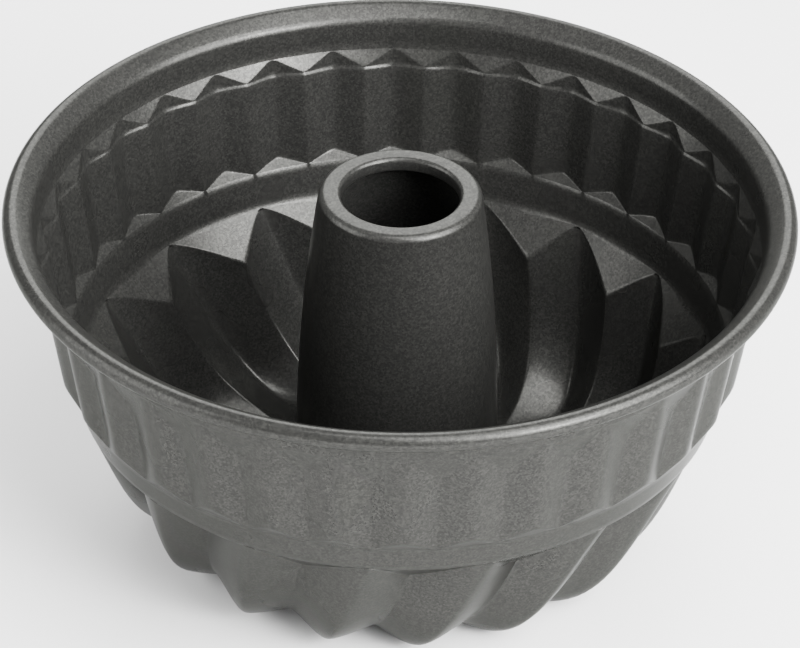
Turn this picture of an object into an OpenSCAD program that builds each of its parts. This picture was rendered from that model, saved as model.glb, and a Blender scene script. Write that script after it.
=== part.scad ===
// Kugelhopf mould: a fluted ring mould pressed from coated steel sheet.
// The bowl and the centre tube are two pressings, locked together in a folded seam at the foot.
// The bowl's edge is rolled outwards over a steel wire.
// Origin: centre of the circle that the mould stands on. +Z is up, towards the open side.

/* [Mould] */
// Outside diameter over the rolled rim
rim_d = 220; // [200:2:240]
// Height of the rim's top above the table
mould_h = 106.4; // [98:0.2:120]
// Thickness of the coated steel sheet
sheet_t = 0.7; // [0.6:0.1:1]
// Number of large flutes in the lower part (the upper part has twice as many pleats)
flute_count = 17; // [12:1:20]

/* [Rim] */
// Width of the rim from the outside of the roll to the inner edge
rim_w = 8; // [7:0.5:10]
// Diameter of the wire inside the roll
wire_d = 3.7; // [2.8:0.1:3.9]
// How far the inner edge of the rim lies below its top
rim_dip = 2.7; // [2:0.1:3.2]

/* [Collar and pleats] */
// Inside diameter of the plain collar where the pleats begin
collar_d = 201.4; // [197:0.2:203]
// Depth of the collar's lower edge below the top of the rim
collar_depth = 12.6; // [11:0.1:15]
// Height of the zone of pleats, down to the plain band
pleat_h = 33.8; // [28:0.2:42]
// How far a pleat stands inwards of the wall
pleat_depth = 3.1; // [2:0.1:4]
// Height of the sloping triangle at the top of a pleat
pleat_roof_h = 4.3; // [3:0.1:7]
// Height of the sloping triangle at the bottom of a pleat
pleat_floor_h = 2.2; // [1.6:0.1:5]

/* [Band] */
// Inside diameter of the plain band at its upper edge
band_top_d = 186.4; // [184:0.2:190]
// Inside diameter of the plain band at its lower edge
band_low_d = 181; // [175:0.2:183]
// Height of the plain band
band_h = 10.6; // [8:0.1:14]

/* [Flutes] */
// How far a flute's inner crease starts inwards of the band
flute_depth = 10.3; // [6:0.1:12]
// Height of the large sloping triangle at the top of a flute
flute_roof_h = 10; // [7:0.2:14]
// Turn of the flutes from the band to the foot, in degrees
flute_twist = 14.6; // [0:0.2:24]
// Diameter of the ring of flats that the mould stands on
foot_ring_d = 108.4; // [100:0.2:116]
// Width of each standing flat, measured towards the middle
foot_flat_w = 6; // [4:0.2:7]

/* [Centre tube] */
// Diameter of the tube at its foot
tube_foot_d = 58; // [54:0.2:62]
// Diameter of the tube below its rounded shoulder
tube_top_d = 45.8; // [42:0.2:48]
// Height of the tube's top above the rim
tube_rise = 3; // [0:0.2:5]
// Radius of the rounded shoulder
shoulder_r = 2.2; // [1.5:0.1:3]
// Diameter of the hole in the tube's top
hole_d = 33.2; // [28:0.2:35]
// Depth of the turned-down edge of the hole
hole_lip = 4; // [3:0.5:8]

/* [Foot seam] */
// Height of the bowl's floor where it meets the tube
seam_floor_z = 4.9; // [4.5:0.1:7]
// Length of the bowl's turned-down collar inside the seam
seam_collar = 2.6; // [2:0.1:3]
// Height of the tube's folded-up hem outside that collar
seam_hem = 1.8; // [1:0.1:2]
// Clearance between folded sheets, and round the wire
seam_fit = 0.05; // [0.03:0.01:0.1]

/* [Hidden] */

// Smoothness of the exact turned surfaces
$fn = 96;

bowl_colour = [0.42, 0.42, 0.41];
tube_colour = [0.36, 0.36, 0.35];
wire_colour = [0.75, 0.75, 0.76];

// Angles of the pattern
pleat_pitch = 180 / flute_count;
flute_pitch = 2 * pleat_pitch;
// Direction of one pleat's inner crease, seen from above
first_pleat_a = 170.8;
// Half widths of the rounded creases, as shares of a pleat's pitch
wide_share = 0.074;
narrow_share = 0.014;
// The flutes' inner crease runs this share of a flute's pitch ahead of the middle
crease_lead_share = 0.045;
// Half widths of a flute's outer and inner rounding, as shares of its pitch
outer_round_share = 0.05;
inner_round_share = 0.012;

// Heights
collar_z = mould_h - collar_depth;
crease_z = collar_z - pleat_roof_h;
band_top_z = collar_z - pleat_h;
pleat_floor_z = band_top_z + pleat_floor_h;
band_low_z = band_top_z - band_h;
flute_apex_z = band_low_z - flute_roof_h;
tube_top_z = mould_h + tube_rise;

// Radii
collar_r = collar_d / 2;
band_top_r = band_top_d / 2;
band_low_r = band_low_d / 2;
foot_r = foot_ring_d / 2 + foot_flat_w / 2;
foot_in_r = foot_r - foot_flat_w;
tube_foot_r = tube_foot_d / 2;
tube_top_r = tube_top_d / 2;
hole_r = hole_d / 2;

// Rim roll: sheet bent round the wire, in steps of this many degrees
roll_in_r = wire_d / 2 + seam_fit;
roll_out_r = roll_in_r + sheet_t;
roll_c_r = rim_d / 2 - roll_out_r;
roll_c_z = mould_h - roll_out_r;
roll_step = 45;
roll_end = -90;
rim_in_r = rim_d / 2 - rim_w;
rim_low_z = mould_h - rim_dip;

// Turns a point [radius, angle, height] into x, y, z
function turned(p) = [p[0] * cos(p[1]), p[0] * sin(p[1]), p[2]];
function mix(a, b, s) = a + (b - a) * s;
function arc(c, r, a0, a1, n) = [for (i = [0 : n]) let (a = mix(a0, a1, i / n)) c + r * [cos(a), sin(a)]];

// Point at share s of a cubic curve from a to b, whose control points are given as shares of that way
function curve(a, b, shares, s) =
    let (t = pow(1 - s, 3) * shares[0] + 3 * pow(1 - s, 2) * s * shares[1]
        + 3 * (1 - s) * s * s * shares[2] + pow(s, 3) * shares[3])
    [mix(a[0], b[0], t[0]), mix(a[1], b[1], t[1])];

// Creases of a flute, as [radius, height] on the inside face, down the wall and round to the foot
crease_end_r = foot_in_r - foot_flat_w / 2;
outer_shares = [[0, 0], [0.35, 0.58], [0.42, 0.96], [1, 1]];
inner_shares = [[0, 0], [0.18, 0.66], [0.45, 0.88], [1, 1]];
function outer_crease(s) = curve([band_low_r, band_low_z], [foot_r, sheet_t], outer_shares, s);
function inner_crease(s) = curve(
    [band_low_r - flute_depth, flute_apex_z], [crease_end_r, 2 * sheet_t], inner_shares, s);
// Rows of the flutes as shares of the inner crease, and where the outer crease is by then
row_shares = [0, 0.16, 0.32, 0.48, 0.64, 0.8, 1];
apex_share = 0.147;
function outer_share(s) = mix(apex_share, 1, s);
// Way that the sheet's outside faces there, in degrees below the horizontal
lean_top = 15;
lean_power = 1.3;
function lean(s) = mix(lean_top, 90, pow(s, lean_power));
twist_power = 0.92;
// How far the middle of a flank stands out, as a share of the crease's depth there
flank_share = 0.06;

// One flute has six points in a row: two at its outer crease, one on a flank, two at its inner crease
// and one on the other flank. v and r are [radius, height] of the two creases.
function flute_points(v, r, s) = [
    for (f = [0 : flute_count - 1])
    let (
        v_a = first_pleat_a - pleat_pitch + f * flute_pitch - flute_twist * pow(outer_share(s), twist_power),
        v_w = outer_round_share * flute_pitch,
        r_a = v_a + pleat_pitch - crease_lead_share * flute_pitch,
        r_w = inner_round_share * flute_pitch,
        m = (v + r) / 2 + [flank_share * (v[0] - r[0]), 0]
    )
    each [
        [v[0], v_a - v_w, v[1]],
        [v[0], v_a + v_w, v[1]],
        [m[0], (v_a + v_w + r_a - r_w) / 2, m[1]],
        [r[0], r_a - r_w, r[1]],
        [r[0], r_a + r_w, r[1]],
        [m[0], (r_a + r_w + v_a - v_w + flute_pitch) / 2, m[1]],
    ]
];
// The sheet's outside is set off from the inside by the thickness d
function flute_row(s, d) =
    let (off = d * [cos(lean(s)), -sin(lean(s))])
    flute_points(outer_crease(outer_share(s)) + off, inner_crease(s) + off, s);
// The inner edge of the standing flats: low under the outer creases only
function flat_row(d) =
    flute_points([foot_in_r, sheet_t - d], [crease_end_r - foot_flat_w / 2, 2 * sheet_t - d], 1);
// A round ring of the same points, at the angles where the flutes end
function foot_ring(p) = flute_points(p, p, 1);

// Seam: the flat sides of the bowl's many-sided collar clear the tube
widest_gap_share = 0.125;
seam_r = (tube_foot_r + seam_fit) / cos(widest_gap_share * flute_pitch);
seam_end_z = seam_floor_z - sheet_t - seam_collar;
seam_bend = 3 * sheet_t;

// One flute spans two pleats: eight points in a row, in pairs at each crease.
// in_r, in_z, in_w: radius, height and half width of the inner creases; the others of the outer ones.
function pleat_row(in_r, in_z, in_w, out_r, out_z, out_w) = [
    for (k = [0 : 2 * flute_count - 1])
    let (a = first_pleat_a - pleat_pitch + k * pleat_pitch, o = a + pleat_pitch / 2)
    each [
        [in_r, a - in_w * pleat_pitch, in_z],
        [in_r, a + in_w * pleat_pitch, in_z],
        [out_r, o - out_w * pleat_pitch, out_z],
        [out_r, o + out_w * pleat_pitch, out_z],
    ]
];
function pleat_ring(p, in_w, out_w) = pleat_row(p[0], p[1], in_w, p[0], p[1], out_w);

// The five rows of the pleats and the band, from the collar down, on a face set off by d
crease_top_r = collar_r - pleat_depth;
crease_low_r = mix(band_top_r, crease_top_r, pleat_floor_h / (pleat_h - pleat_roof_h));
function pleat_rows(d) = [
    pleat_ring([collar_r + d, collar_z], narrow_share, wide_share),
    pleat_row(crease_top_r + d, crease_z, narrow_share, collar_r + d, crease_z, wide_share),
    pleat_row(crease_low_r + d, pleat_floor_z, wide_share, band_top_r + pleat_depth + d, pleat_floor_z, wide_share),
    pleat_ring([band_top_r + d, band_top_z], wide_share, narrow_share),
    pleat_ring([band_low_r + d, band_low_z], wide_share, narrow_share),
];

// Rolled rim, as [radius, height], from the collar's inside over the roll to the collar's outside
collar_share = 0.2;
collar_mid = [mix(collar_r, rim_in_r, collar_share), mix(collar_z, rim_low_z, 2 * collar_share)];
function roll(r, a0, a1) = arc([roll_c_r, roll_c_z], r, a0, a1, abs(a1 - a0) / roll_step);
rim_outline = concat(
    [collar_mid],
    [[rim_in_r - sheet_t, rim_low_z - sheet_t]],
    [[rim_in_r + sheet_t / 2, rim_low_z]],
    roll(roll_out_r, 180, roll_end),
    roll(roll_in_r / cos(roll_step / 2), roll_end, 180),
    [[roll_c_r - roll_out_r - sheet_t / 2, roll_c_z - sheet_t]],
    [[rim_in_r + sheet_t / 2, rim_low_z - 3 / 2 * sheet_t]],
    [collar_mid + [sheet_t, 0]]
);

// Floor and turned-down collar of the bowl, as [radius, height], inside face first
floor_outline = [
    [seam_r + seam_bend, seam_floor_z - sheet_t / 4],
    [seam_r + sheet_t / 2, seam_floor_z],
    [seam_r, seam_floor_z - sheet_t / 2],
    [seam_r, seam_end_z],
    [seam_r + sheet_t, seam_end_z],
    [seam_r + sheet_t, seam_floor_z - sheet_t],
    [seam_r + seam_bend, seam_floor_z - sheet_t * 5 / 4],
];

// All rows in order round the sheet's section: the upper ones run up the inside, over the rim
// and down the outside, and the lower ones run down the inside, round the seam and up the outside.
wall_rows = 5;
upper_rows = concat(
    [for (i = [wall_rows - 1 : -1 : 0]) pleat_rows(0)[i]],
    [for (p = rim_outline) pleat_ring(p, narrow_share, wide_share)],
    pleat_rows(sheet_t)
);
flute_rows = len(row_shares);
lower_rows = concat(
    [for (s = row_shares) flute_row(s, 0)],
    [flat_row(0)],
    [for (p = floor_outline) foot_ring(p)],
    [flat_row(sheet_t)],
    [for (i = [flute_rows - 1 : -1 : 0]) flute_row(row_shares[i], sheet_t)]
);

upper_n = 8 * flute_count;
lower_n = 6 * flute_count;
lower_start = len(upper_rows) * upper_n;
bowl_points = concat(
    [for (row = upper_rows) for (p = row) turned(p)],
    [for (row = lower_rows) for (p = row) turned(p)]
);

function facing(t, flip) = flip ? [t[0], t[2], t[1]] : t;

// Two triangles for each cell between the rows from one row to another, counted from start.
// There are n points in a row, and split says which diagonal each cell has.
function cells(start, n, row_a, row_b, split, flip) = [
    for (j = [row_a : row_b - 1]) for (i = [0 : n - 1])
    let (a = start + j * n + i, b = start + j * n + (i + 1) % n, c = a + n, d = b + n)
    for (t = split[i % len(split)] ? [[a, d, b], [a, c, d]] : [[a, c, b], [b, c, d]])
    facing(t, flip)
];

// Between a row of eight points a flute and a row of six: each flute has one large triangle,
// a fan that ends at the tip of the inner crease.
function fans(u, w, flip) = [
    for (f = [0 : flute_count - 1])
    let (
        e = [for (k = [0 : 8]) u + (8 * f + k) % upper_n],
        q = [for (k = [0 : 6]) w + (6 * f + k) % lower_n]
    )
    for (t = [
        [e[0], e[1], q[1]], [e[0], q[1], q[0]],
        [e[1], q[2], q[1]], [e[1], q[3], q[2]],
        [e[1], e[2], q[3]], [e[2], e[3], q[3]], [e[3], e[4], q[3]],
        [e[4], e[5], q[4]], [e[4], q[4], q[3]],
        [e[5], e[6], q[4]], [e[6], e[7], q[4]], [e[7], e[8], q[4]],
        [e[8], q[5], q[4]], [e[8], q[6], q[5]],
    ])
    facing(t, flip)
];

// Diagonals that make each small triangle of a pleat a flat face, for rows that run up and down
up_split = [true, true, true, false];
down_split = [true, false, true, true];
upper_last = len(upper_rows) - 1;
lower_last = len(lower_rows) - 1;
bowl_faces = concat(
    cells(0, upper_n, 0, wall_rows - 1, up_split, true),
    cells(0, upper_n, wall_rows - 1, upper_last - wall_rows + 1, [true], true),
    cells(0, upper_n, upper_last - wall_rows + 1, upper_last, down_split, true),
    fans(0, lower_start, true),
    cells(lower_start, lower_n, 0, flute_rows, [true], false),
    cells(lower_start, lower_n, flute_rows, lower_last, [false], false),
    fans(upper_last * upper_n, lower_start + lower_last * lower_n, false)
);

// Drawn bowl with pleats, flutes and rolled rim
module mould_bowl() {
    color(bowl_colour)
        polyhedron(points = bowl_points, faces = bowl_faces, convexity = 8);
}

// Wall of the tube: radius of its outside at share s of its height
taper_power = 2.5;
function tube_r(s) = mix(tube_foot_r, tube_top_r, pow(s, taper_power));
wall_steps = 10;
wall_top_z = tube_top_z - shoulder_r;
hem_z = seam_end_z - seam_fit - sheet_t;
slot_r = seam_r + sheet_t + seam_fit;
lip_r = 1.25 * sheet_t;

function tube_wall(d) = [
    for (i = [0 : wall_steps]) let (s = i / wall_steps) [tube_r(s) - d, mix(seam_floor_z, wall_top_z, s)]
];
shoulder_c = [tube_top_r - shoulder_r, wall_top_z];
lip_c = [hole_r + lip_r, tube_top_z - lip_r];
tube_outline = concat(
    [[tube_foot_r, hem_z + sheet_t]],
    tube_wall(0),
    arc(shoulder_c, shoulder_r, 15, 90, 5),
    arc(lip_c, lip_r, 90, 180, 4),
    [[hole_r, tube_top_z - hole_lip], [hole_r + sheet_t, tube_top_z - hole_lip]],
    [[hole_r + sheet_t, lip_c[1]], [lip_c[0], tube_top_z - sheet_t]],
    arc(shoulder_c, shoulder_r - sheet_t, 90, 15, 5),
    [for (i = [wall_steps : -1 : 0]) tube_wall(sheet_t)[i]],
    [[tube_foot_r - sheet_t, hem_z + sheet_t / 2], [tube_foot_r - sheet_t / 2, hem_z]],
    [[slot_r + sheet_t / 2, hem_z], [slot_r + sheet_t, hem_z + sheet_t / 2]],
    [[slot_r + sheet_t, hem_z + sheet_t + seam_hem], [slot_r, hem_z + sheet_t + seam_hem]],
    [[slot_r, hem_z + sheet_t]]
);

// Tapered centre tube with its turned-in top and the hem of the foot seam
module centre_tube() {
    color(tube_colour)
        rotate_extrude()
            polygon(tube_outline);
}

// Round wire inside the rolled rim
module rim_wire() {
    color(wire_colour)
        rotate_extrude()
            translate([roll_c_r, roll_c_z])
                circle(d = wire_d);
}

mould_bowl();
centre_tube();
rim_wire();
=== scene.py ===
"""Kugelhopf mould of coated steel sheet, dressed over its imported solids.

Lengths in the sections are millimetres. Heights are above the table, and angles are in degrees,
counted from +X towards +Y.
"""

import bpy
import numpy as np
from mathutils import Matrix


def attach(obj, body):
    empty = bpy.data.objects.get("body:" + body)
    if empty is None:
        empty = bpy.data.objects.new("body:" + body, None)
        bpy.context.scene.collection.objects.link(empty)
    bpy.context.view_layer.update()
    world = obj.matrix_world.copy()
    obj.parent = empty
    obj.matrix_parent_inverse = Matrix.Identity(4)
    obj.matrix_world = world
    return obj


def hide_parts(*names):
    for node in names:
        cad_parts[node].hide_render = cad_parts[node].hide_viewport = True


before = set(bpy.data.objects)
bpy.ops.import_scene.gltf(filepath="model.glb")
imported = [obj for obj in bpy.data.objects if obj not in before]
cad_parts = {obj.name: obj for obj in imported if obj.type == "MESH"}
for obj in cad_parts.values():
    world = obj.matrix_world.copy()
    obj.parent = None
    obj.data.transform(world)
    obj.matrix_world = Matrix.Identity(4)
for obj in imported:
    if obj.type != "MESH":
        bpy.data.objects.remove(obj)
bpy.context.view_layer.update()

# Bowl: one deep-drawn pressing of 0.7 mm steel sheet. From the top down it has a rim rolled over a
# wire, a plain collar, a belt of straight pleats, a plain band and large flutes that turn as they go
# down. Every crease is pressed by a steel die, sharp on the inside and rounder on the outside.

SHEET = 0.7
RIM_TOP = 106.4
FLUTES = 17
PITCH = 360 / FLUTES

# Columns of one pleat, as shares of the way from its inner crease to its outer one. They lie closer
# together at the creases, and the other half of the pleat mirrors them.
half_pleat = np.array([0, 0.016, 0.05, 0.13, 0.25, 0.36, 0.44])
pleat_columns = np.concatenate([half_pleat, 1 - np.append(0.5, half_pleat[:0:-1])])
columns = (np.arange(2 * FLUTES)[:, None] + pleat_columns[None, :]).ravel() / (2 * FLUTES)


def rounded_wave(turns, outer, inner):
    """Zigzag from 0 at the outer creases to 1 at the inner ones, once a turn, with its inner crease
    at 0. outer and inner are the half widths of the two roundings, as shares of a flank; a rounding
    is the branch of a hyperbola that hugs both flanks."""
    flank = 2 * np.abs(turns - np.floor(turns) - 0.5)
    low = np.sqrt(flank**2 + outer**2) - outer
    high = 1 - flank
    high = np.sqrt(high**2 + inner**2) - inner
    share = flank**2 * (3 - 2 * flank)
    return low * (1 - share) + (1 - high) * share


def blend_up(x, start, stop):
    """0 before start, 1 after stop, and an S-shaped curve between them."""
    t = np.clip((x - start) / (stop - start), 0, 1)
    return t * t * (3 - 2 * t)


def soft_max(a, b, width):
    """The larger of two lengths, with the corner between them rounded over the given width."""
    return (a + b + np.sqrt((a - b) ** 2 + width**2)) / 2


def soft_min(a, b, width):
    """The smaller of two lengths, with the corner between them rounded over the given width."""
    return (a + b - np.sqrt((a - b) ** 2 + width**2)) / 2


# Inside radii and heights of the belts, from the collar down
COLLAR = (100.7, RIM_TOP - 12.6)
PLEAT_TIP = (97.6, RIM_TOP - 16.9)
FLOOR_TIP = (95.95, RIM_TOP - 44.2)
BAND_TOP = (93.2, RIM_TOP - 46.4)
BAND_LOW = (90.5, RIM_TOP - 57.0)
FLUTE_TIP = (80.2, RIM_TOP - 67.0)
FIRST_PLEAT = 170.9
pleat_angle = FIRST_PLEAT - PITCH / 2 + 360 * columns
FLUTE_LAG = 0.3

# Width of the ledge under the upper triangles, and the least share of a sloping triangle's height that
# its rows keep where it runs out at a crease
STEP = 0.35
LEAST_EDGE = 0.06


def ledge_height(wave):
    """Height of the fine ledge below the sloping triangles: level at the inner creases, and half a
    millimetre lower at the outer ones."""
    return PLEAT_TIP[1] - 0.6 - 0.5 * (1 - wave)


def pleat_wall(z, outer, inner, step, tip):
    """Radius of the pleated wall at a height: a zigzag between two slightly tapered cones. tip is where
    the inner creases start, as (radius, height). Near the top the wall steps back by the given width,
    which leaves a fine ledge."""
    wave = rounded_wave(columns * 2 * FLUTES, outer, inner)[None, :]
    crest = np.interp(z, [BAND_TOP[1], tip[1]], [BAND_TOP[0], tip[0]])
    hollow = np.interp(z, [FLOOR_TIP[1], COLLAR[1]], [FLOOR_TIP[0], COLLAR[0] - step])
    ledge = ledge_height(wave)
    return hollow - (hollow - crest) * wave + step * blend_up(z, ledge - 0.15, ledge + 0.35)


def pleat_belt(rows, outer, inner, corner, step, tip, band_edge):
    """Radius, height and angle on a grid from the collar to the band. A row's height follows the
    sloping triangles, so that their edges lie along the grid: the wall, a cone for the upper triangles
    and a cone for the lower ones, down to the band's edge, are joined by corners that are rounded
    over the given width, which fades out towards the collar and the band. rows counts the rows of
    the upper triangles, of the wall down to the ledge, of the wall below it and of the lower
    triangles; tip is the lower end of the upper triangles."""
    wave = rounded_wave(columns * 2 * FLUTES, 0.02, 0.02)[None, :]
    edge_top = COLLAR[1] - (COLLAR[1] - tip[1]) * np.maximum(wave, LEAST_EDGE)
    edge_ledge = np.minimum(ledge_height(wave), edge_top - 0.6)
    edge_floor = band_edge[1] + (FLOOR_TIP[1] - band_edge[1]) * np.maximum(1 - wave, LEAST_EDGE)
    stops = [COLLAR[1] + 0 * wave, edge_top, edge_ledge, edge_floor, band_edge[1] + 0 * wave]
    parts = []
    for high, low, n in zip(stops[:-1], stops[1:], rows):
        t = (1 - np.cos(np.pi * np.arange(n) / n))[:, None] / 2
        parts.append(high + (low - high) * t)
    z = np.concatenate(parts)
    top_slope = (COLLAR[0] - tip[0] - step) / (COLLAR[1] - tip[1])
    low_slope = (FLOOR_TIP[0] - band_edge[0]) / (FLOOR_TIP[1] - band_edge[1])
    top_corner = 0.02 + corner * blend_up(z, COLLAR[1], COLLAR[1] - 2.5)
    low_corner = 0.02 + corner * blend_up(z, band_edge[1], band_edge[1] + 2)
    upper_cone = COLLAR[0] - (COLLAR[1] - z) * top_slope
    lower_cone = band_edge[0] + (z - band_edge[1]) * low_slope
    r = soft_max(pleat_wall(z, outer, inner, step, tip), upper_cone, top_corner)
    r = soft_min(r, lower_cone, low_corner)
    return r, z, pleat_angle[None, :] + 0 * z


def curve(start, end, shares, s):
    """Cubic curve between two [radius, height] points; its four control points are given as shares of
    the way in radius and of the way in height."""
    weights = np.stack([(1 - s) ** 3, 3 * (1 - s) ** 2 * s, 3 * (1 - s) * s**2, s**3], axis=-1)
    return np.array(start) + (np.array(end) - np.array(start)) * (weights @ np.array(shares))


FOOT_OUT = (57.2, SHEET)
FOOT_IN = (48.2, 2 * SHEET)

# Turn of the outer creases down to the foot, the power of its course, the share of the way that lies
# above the large triangles' tips, and how far the inner creases lag at the top and how much more at
# the foot, as shares of the pitch
TURN = 14.6
TURN_POWER = 0.92
TIP_SHARE = 0.147
INNER_LAG = 0.039
INNER_LAG_GROWTH = 0.011


def flute_belt(roof_rows, flank_rows, outer, inner):
    """Radius, height and angle on a grid from the band to the foot. The first rows are the large
    triangles, straight from the band's edge to the tops of the flanks. The others are the flanks,
    straight from the outer crease to the inner one, where both creases are cubic curves that turn
    as they go down."""
    turns = columns * FLUTES
    share = turns - np.floor(turns)
    wave = rounded_wave(turns + 0.5, outer, inner)[None, :]
    s = np.array(flank_rows)
    out = curve(BAND_LOW, FOOT_OUT, [[0, 0], [0.35, 0.58], [0.42, 0.96], [1, 1]], s)
    ins = curve(FLUTE_TIP, FOOT_IN, [[0, 0], [0.18, 0.66], [0.45, 0.88], [1, 1]], s)
    r = out[:, :1] + (ins[:, :1] - out[:, :1]) * wave
    z = out[:, 1:] + (ins[:, 1:] - out[:, 1:]) * wave
    start = FIRST_PLEAT - PITCH / 2 - FLUTE_LAG + PITCH * np.floor(turns)[None, :]
    out_turn = -TURN * s[:, None] ** TURN_POWER
    in_turn = -TURN * (TIP_SHARE + (1 - TIP_SHARE) * s[:, None]) ** TURN_POWER
    in_turn = in_turn + PITCH / 2 - PITCH * (INNER_LAG + INNER_LAG_GROWTH * s[:, None])
    first = out_turn + (in_turn - out_turn) * 2 * share
    second = in_turn + (out_turn + PITCH - in_turn) * (2 * share - 1)
    angle = start + np.where(share <= 0.5, first, second)
    t = np.array(roof_rows)[:, None]
    band_angle = pleat_angle[None, :] - FLUTE_LAG
    edge = np.maximum(wave, 0.02)
    roof_r = BAND_LOW[0] + (FLUTE_TIP[0] - BAND_LOW[0]) * edge * t
    roof_z = BAND_LOW[1] + (FLUTE_TIP[1] - BAND_LOW[1]) * edge * t
    roof_angle = band_angle + (angle[:1] - band_angle) * t
    return np.concatenate([roof_r, r]), np.concatenate([roof_z, z]), np.concatenate([roof_angle, angle])


def straight(start, end, n, angle_from, angle_to):
    """n rows on a cone between two [radius, height] points, whose columns move from one set of angles
    to another."""
    t = (np.arange(n) / n)[:, None]
    r = start[0] + (end[0] - start[0]) * t + 0 * columns
    z = start[1] + (end[1] - start[1]) * t + 0 * columns
    return r, z, angle_from + (angle_to - angle_from) * t


def floor_rows(n, r0, z0, angle, ring):
    """n rows from the ends of the flutes to a ring near the tube: the ring is reached on an S-shaped
    way in height, so that the floor leaves the flutes level and meets the ring level."""
    t = (np.arange(1, n + 1) / n)[:, None]
    r = r0 + (ring[0] - r0) * t
    z = z0 + (ring[1] - z0) * t * t * (3 - 2 * t)
    return r, z, angle + 0 * t


def lean_of(r, z):
    """Unit normal of the mean profile in each row, pointing out of the mould, as [radial, upward]. It
    is the mean over nine rows, so that the sheet bends without a fold."""
    dr, dz = np.gradient(r.mean(axis=1)), np.gradient(z.mean(axis=1))
    normal = np.stack([-dz, dr], axis=1) / np.hypot(dr, dz)[:, None]
    first, last = np.repeat(normal[:1], 4, axis=0), np.repeat(normal[-1:], 4, axis=0)
    padded = np.concatenate([first, normal, last])
    total = np.cumsum(np.vstack([(0, 0), padded]), axis=0)
    mean = total[9:] - total[:-9]
    return (mean / np.hypot(mean[:, 0], mean[:, 1])[:, None]).T


# Rows of the pleats' four parts and of the band, and half widths of the inner creases' roundings
PLEAT_ROWS = [7, 5, 10, 6]
BAND_ROWS = 5
INNER_PLEAT = 0.065
INNER_FLUTE = 0.03
FLOOR_RING = (31.6, 4.7)


def bowl_wall(outer_pleat, outer_flute, corner, step, tip, band_edge):
    """One skin of the bowl from the collar to the seam, as radius, height and angle on a grid. Both
    skins are given as they lie on the inside of the sheet."""
    belt = pleat_belt(PLEAT_ROWS, outer_pleat, INNER_PLEAT, corner, step, tip, band_edge)
    band = straight(band_edge, BAND_LOW, BAND_ROWS, pleat_angle, pleat_angle - FLUTE_LAG)
    flanks = np.concatenate([[0, 0.008, 0.025], np.linspace(0.06, 1, 22)])
    flute = flute_belt(np.arange(8) / 8, flanks, outer_flute, INNER_FLUTE)
    base = floor_rows(5, flute[0][-1:], flute[1][-1:], flute[2][-1:], FLOOR_RING)
    parts = [belt, band, flute, base]
    return [np.concatenate([p[i] for p in parts]) for i in range(3)]


def ring_rows(profile, angle):
    """Rows that are full circles, one for each [radius, height] of a profile."""
    profile = np.array(profile)
    return profile[:, :1] + 0 * angle, profile[:, 1:] + 0 * angle, angle + 0 * profile[:, :1]


def arc(centre, radius, first, last, n):
    """n points of an arc in the plane of the profile, from one angle to another."""
    a = np.radians(np.linspace(first, last, n))
    return np.stack([centre[0] + radius * np.cos(a), centre[1] + radius * np.sin(a)], axis=1)


def grid_mesh(name, r, z, angle):
    """A mesh of four-sided faces on a grid of radius, height and angle, closed all round, with its
    last row joined to its first: a ring whose section is the profile. Faces point outwards where the
    rows run up a wall that is seen from the axis."""
    a = np.radians(angle)
    points = np.stack([r * np.cos(a), r * np.sin(a), z], axis=-1) / 1000
    rows, cols = r.shape
    j, i = np.meshgrid(np.arange(rows), np.arange(cols), indexing="ij")
    j2, i2 = (j + 1) % rows, (i + 1) % cols
    corners = [j * cols + i, j2 * cols + i, j2 * cols + i2, j * cols + i2]
    faces = np.stack(corners, axis=-1).reshape(-1, 4)
    mesh = bpy.data.meshes.new(name)
    mesh.from_pydata(points.reshape(-1, 3), [], faces)
    mesh.polygons.foreach_set("use_smooth", np.ones(len(faces), bool))
    mesh.update()
    made = bpy.data.objects.new(name, mesh)
    bpy.context.scene.collection.objects.link(made)
    return made


# The outer skin has no ledge, wider corners, and gentler slopes from the collar and to the band
inside = bowl_wall(0.11, 0.09, 0.12, STEP, PLEAT_TIP, BAND_TOP)
outside = bowl_wall(0.3, 0.14, 0.3, 0, (97.3, RIM_TOP - 21.5), (93.1, RIM_TOP - 48.2))
push_r, push_z = lean_of(inside[0], inside[1])

# From the collar to the flutes the way between the skins turns evenly, so that no row folds
BELT_ROWS = sum(PLEAT_ROWS) + BAND_ROWS
evenly = np.linspace(0, 1, BELT_ROWS)
push_r[:BELT_ROWS] = push_r[0] + (push_r[BELT_ROWS] - push_r[0]) * evenly
push_z[:BELT_ROWS] = push_z[0] + (push_z[BELT_ROWS] - push_z[0]) * evenly
out_r = outside[0] + SHEET * push_r[:, None]
out_z = outside[1] + SHEET * push_z[:, None]

# Rim: the sheet bends outwards over a round inner edge, climbs straight to the wire, and is rolled
# round it. Both arcs have the same normal, CLIMB, where the straight part meets them.
RIM_R = 110
EDGE_R = 3.6
EDGE = (105.0, RIM_TOP - 5.5)
ROLL_R = 2.6
ROLL = (RIM_R - ROLL_R, RIM_TOP - ROLL_R)
COLLAR_NORMAL, CLIMB, ROLL_END = 176, 125, -130
rim = ring_rows(np.concatenate([
    [(100.9, 97.0), (101.15, 99.6)],
    arc(EDGE, EDGE_R, COLLAR_NORMAL, CLIMB, 7),
    arc(ROLL, ROLL_R, CLIMB, ROLL_END, 22),
    arc(ROLL, ROLL_R - SHEET, ROLL_END, CLIMB, 9),
    arc(EDGE, EDGE_R - SHEET, CLIMB, COLLAR_NORMAL, 4),
    [(101.86, 99.6), (101.6, 97.0)],
]), pleat_angle[None, :])

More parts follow.
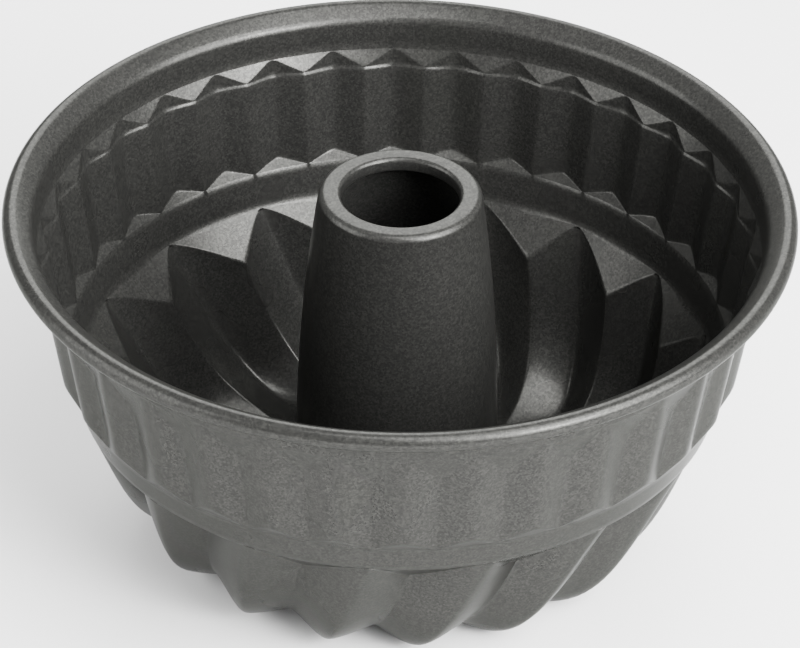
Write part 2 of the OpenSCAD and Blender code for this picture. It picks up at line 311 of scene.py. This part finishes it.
# Inner edge of the floor: a turned-down collar inside the folded seam
seam_profile = [
    (30.2, 4.9), (29.6, 4.85), (29.2, 4.5), (29.1, 3.9), (29.1, 1.6), (29.8, 1.6), (29.8, 3.9),
]
seam = ring_rows(seam_profile, inside[2][-1:])
skin = (out_r, out_z, outside[2])
whole = [np.concatenate([inside[k][::-1], rim[k], skin[k], seam[k][::-1]]) for k in range(3)]
bowl = grid_mesh("bowl_pressing", *whole)


def linear(hex_colour):
    """sRGB hex colour as linear red, green, blue and alpha."""
    c = np.array([int(hex_colour[i : i + 2], 16) for i in (1, 3, 5)]) / 255
    c = np.where(c <= 0.04045, c / 12.92, ((c + 0.055) / 1.055) ** 2.4)
    return (*c, 1.0)


def add(tree, kind, values=None, links=None, **settings):
    """Adds a node with its settings, the values of its sockets, and links from other sockets."""
    made = tree.nodes.new(kind)
    for name, value in settings.items():
        setattr(made, name, value)
    for socket, value in (values or {}).items():
        made.inputs[socket].default_value = value
    for socket, source in (links or {}).items():
        tree.links.new(source, made.inputs[socket])
    return made


def coating(name, dark, light, roughness):
    """Non-stick coating: a baked film of fluoropolymer, dark and full of fine aluminium flakes, sprayed
    on steel sheet. To the eye it is a dark satin film that mirrors pale surroundings softly, with a
    fine sparkling grain. The sprayed film is too rough to gloss at a slant, so its IOR and its specular
    tint are low. The grain is 0.5 mm across, coarser than the flakes, so that it shows at the distance
    of the picture."""
    material = bpy.data.materials.new(name)
    material.use_nodes = True
    tree = material.node_tree
    shader = tree.nodes["Principled BSDF"]
    place = add(tree, "ShaderNodeTexCoord").outputs["Object"]
    grain = add(tree, "ShaderNodeTexNoise", {"Scale": 1000 / 0.9, "Detail": 2.0, "Roughness": 0.6},
                {"Vector": place})
    flake = add(tree, "ShaderNodeTexVoronoi", {"Scale": 1000 / 0.5}, {"Vector": place})
    cloud = add(tree, "ShaderNodeTexNoise", {"Scale": 1000 / 35, "Detail": 3.0}, {"Vector": place})
    mixed = add(tree, "ShaderNodeMath", {2: 0.0}, {0: grain.outputs["Fac"], 1: flake.outputs["Color"]},
                operation="MULTIPLY_ADD")
    tone = add(tree, "ShaderNodeMapRange", {"From Min": 0.08, "From Max": 0.5},
               {"Value": mixed.outputs[0]})
    colour = add(tree, "ShaderNodeMix", {6: linear(dark), 7: linear(light)}, {0: tone.outputs[0]},
                 data_type="RGBA")
    spread = {"From Min": 0.3, "From Max": 0.7, "To Min": roughness - 0.03, "To Max": roughness + 0.04}
    rough = add(tree, "ShaderNodeMapRange", spread, {"Value": cloud.outputs["Fac"]})
    bump = add(tree, "ShaderNodeBump", {"Strength": 0.12, "Distance": 0.00003},
               {"Height": mixed.outputs[0]})
    tree.links.new(colour.outputs[2], shader.inputs["Base Color"])
    tree.links.new(rough.outputs[0], shader.inputs["Roughness"])
    tree.links.new(bump.outputs[0], shader.inputs["Normal"])
    shader.inputs["Metallic"].default_value = 0.65
    shader.inputs["IOR"].default_value = 1.25
    shader.inputs["Specular Tint"].default_value = linear("#a9aaa8")
    return material


bowl.data.materials.append(coating("nonstick_coating_bowl", "#292928", "#393937", 0.28))
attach(bowl, "root")
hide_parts("mould_bowl")

# Centre tube: a second pressing of the same coated sheet, drawn to a taper. Its top is turned in to a
# flat ring with a rounded shoulder, and the edge of the hole is turned down. Its foot is folded up
# outside the bowl's collar, which locks the two together.

TUBE_TOP = RIM_TOP + 3.0
TAPER_LOW = 4.9
SHOULDER_R = 2.2
FOOT_R = 29.0
HEAD_R = 22.9
HOLE_R = 16.6


def tube_radius(z):
    """Outside radius of the tube at a height: from the foot it draws in slowly, then faster, with the
    power 2.5 of the share of the height."""
    return FOOT_R + (HEAD_R - FOOT_R) * ((z - TAPER_LOW) / (TUBE_TOP - SHOULDER_R - TAPER_LOW)) ** 2.5


climb = np.concatenate([np.linspace(TAPER_LOW, 95, 24), np.linspace(97, TUBE_TOP - SHOULDER_R, 9)])
wall_in = np.stack([tube_radius(climb) - SHEET, climb], axis=1)
wall_out = np.stack([tube_radius(climb), climb], axis=1)[::-1]
shoulder = (HEAD_R - SHOULDER_R, TUBE_TOP - SHOULDER_R)
LIP_R = 1.3
lip = (HOLE_R + LIP_R, TUBE_TOP - LIP_R)
tube_profile = np.concatenate([
    [(28.3, 1.0), (28.3, 2.5)],
    wall_in,
    arc(shoulder, SHOULDER_R - SHEET, 12, 90, 8),
    arc(lip, LIP_R - SHEET, 90, 180, 7),
    [(HOLE_R + SHEET, TUBE_TOP - 3.6), (HOLE_R + 0.5, TUBE_TOP - 3.95), (HOLE_R + 0.15, TUBE_TOP - 3.9),
     (HOLE_R, TUBE_TOP - 3.6)],
    arc(lip, LIP_R, 180, 90, 10),
    arc(shoulder, SHOULDER_R, 90, 12, 12),
    wall_out,
    [(29.0, 1.7), (29.1, 1.52), (29.7, 1.52), (29.87, 1.7), (29.87, 3.35), (30.1, 3.45), (30.5, 3.45),
     (30.57, 3.3), (30.57, 1.2), (30.3, 0.87), (28.6, 0.87)],
])
TUBE_COLUMNS = 192
tube_angle = np.arange(TUBE_COLUMNS)[None, :] * 360 / TUBE_COLUMNS
tube = grid_mesh("tube_pressing", *ring_rows(tube_profile, tube_angle))
tube.data.materials.append(coating("nonstick_coating_tube", "#2a2a29", "#393937", 0.30))
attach(tube, "root")
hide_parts("centre_tube")


def drawn_wire():
    """Bright steel wire, drawn through a die: fine lines along the wire, too fine to show singly, that
    leave the metal brushed."""
    material = bpy.data.materials.new("drawn_steel_wire")
    material.use_nodes = True
    tree = material.node_tree
    shader = tree.nodes["Principled BSDF"]
    place = add(tree, "ShaderNodeTexCoord").outputs["Object"]
    lines = add(tree, "ShaderNodeTexNoise", {"Scale": 1000 / 0.8, "Detail": 2.0}, {"Vector": place})
    rough = add(tree, "ShaderNodeMapRange", {"To Min": 0.25, "To Max": 0.45},
                {"Value": lines.outputs["Fac"]})
    shader.inputs["Base Color"].default_value = linear("#c4c3c2")
    shader.inputs["Metallic"].default_value = 1.0
    tree.links.new(rough.outputs[0], shader.inputs["Roughness"])
    return material


# Rim wire: hard-drawn steel wire, butted into a ring, that the rim is rolled over. It stays as packed
# and shows only through the gap under the roll.
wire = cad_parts["rim_wire"]
wire.data.materials.clear()
wire.data.materials.append(drawn_wire())

# Table: a plain pale surface that the mould stands on
HALF_TABLE = 6.0
table_corners = [(x * HALF_TABLE, y * HALF_TABLE, 0) for x, y in ((-1, -1), (1, -1), (1, 1), (-1, 1))]
table_mesh = bpy.data.meshes.new("table_top")
table_mesh.from_pydata(table_corners, [], [(0, 1, 2, 3)])
table = bpy.data.objects.new("table_top", table_mesh)
bpy.context.scene.collection.objects.link(table)
paint = bpy.data.materials.new("matt_white_paint")
paint.use_nodes = True
paint.node_tree.nodes["Principled BSDF"].inputs["Base Color"].default_value = linear("#e5e5e5")
paint.node_tree.nodes["Principled BSDF"].inputs["Roughness"].default_value = 0.8
table_mesh.materials.append(paint)

# Studio: a pale room and five soft boxes, the strongest ones at the front right
world = bpy.data.worlds.new("white_room")
world.use_nodes = True
world.node_tree.nodes["Background"].inputs["Color"].default_value = (1, 1, 1, 1)
world.node_tree.nodes["Background"].inputs["Strength"].default_value = 0.98
bpy.context.scene.world = world


def soft_box(name, size, power, azimuth, elevation, distance):
    """A square area light that faces the middle of the mould from a direction given as azimuth from
    +X towards +Y and elevation."""
    a, e = np.radians(azimuth), np.radians(elevation)
    away = np.array([np.cos(a) * np.cos(e), np.sin(a) * np.cos(e), np.sin(e)])
    side = np.cross((0, 0, 1), away)
    side = side / np.linalg.norm(side)
    up = np.cross(away, side)
    lamp = bpy.data.lights.new(name, "AREA")
    lamp.size = size
    lamp.energy = power
    made = bpy.data.objects.new(name, lamp)
    at = away * distance + (0, 0, 0.05)
    rows = np.vstack([np.stack([side, up, away, at], axis=1), (0, 0, 0, 1)])
    made.matrix_world = Matrix(rows.tolist())
    bpy.context.scene.collection.objects.link(made)


soft_box("soft_box_key", 1.2, 98, -36, 37, 1.3)
soft_box("soft_box_core", 0.36, 22, -46, 34, 1.3)
soft_box("soft_box_back", 1.0, 34, 88, 32, 1.4)
soft_box("soft_box_top", 0.9, 24, -50, 72, 1.4)
soft_box("soft_box_left", 1.1, 22, 194, 22, 1.3)

# Camera: a long lens, looking down at the mould from the front. The middle of the rim's top lies at
# RIM_AT in the picture, in pixels from its upper left corner.
PICTURE_WIDTH = 800
MIDDLE = (400, 324)
RIM_AT = (400.385, 201.02)
FOCAL = 4200.0
DISTANCE = 1161.3
elevation, roll = np.radians(35.41), np.radians(0.97)
right = np.array([1.0, 0, 0])
up = np.array([0, np.sin(elevation), np.cos(elevation)])
ahead = np.array([0, np.cos(elevation), -np.sin(elevation)])
image_x = np.cos(roll) * right + np.sin(roll) * up
image_y = np.cos(roll) * up - np.sin(roll) * right
rim_middle = np.array([(RIM_AT[0] - MIDDLE[0]) / FOCAL, (MIDDLE[1] - RIM_AT[1]) / FOCAL, 1]) * DISTANCE
at = np.array([0, 0, RIM_TOP]) - rim_middle @ np.stack([image_x, image_y, ahead])
lens = bpy.data.cameras.new("long_lens")
lens.sensor_fit = "HORIZONTAL"
lens.sensor_width = 36
lens.lens = FOCAL * lens.sensor_width / PICTURE_WIDTH
lens.clip_end = 50
camera = bpy.data.objects.new("long_lens", lens)
rows = np.vstack([np.stack([image_x, image_y, -ahead, at / 1000], axis=1), (0, 0, 0, 1)])
camera.matrix_world = Matrix(rows.tolist())
bpy.context.scene.collection.objects.link(camera)
bpy.context.scene.camera = camera
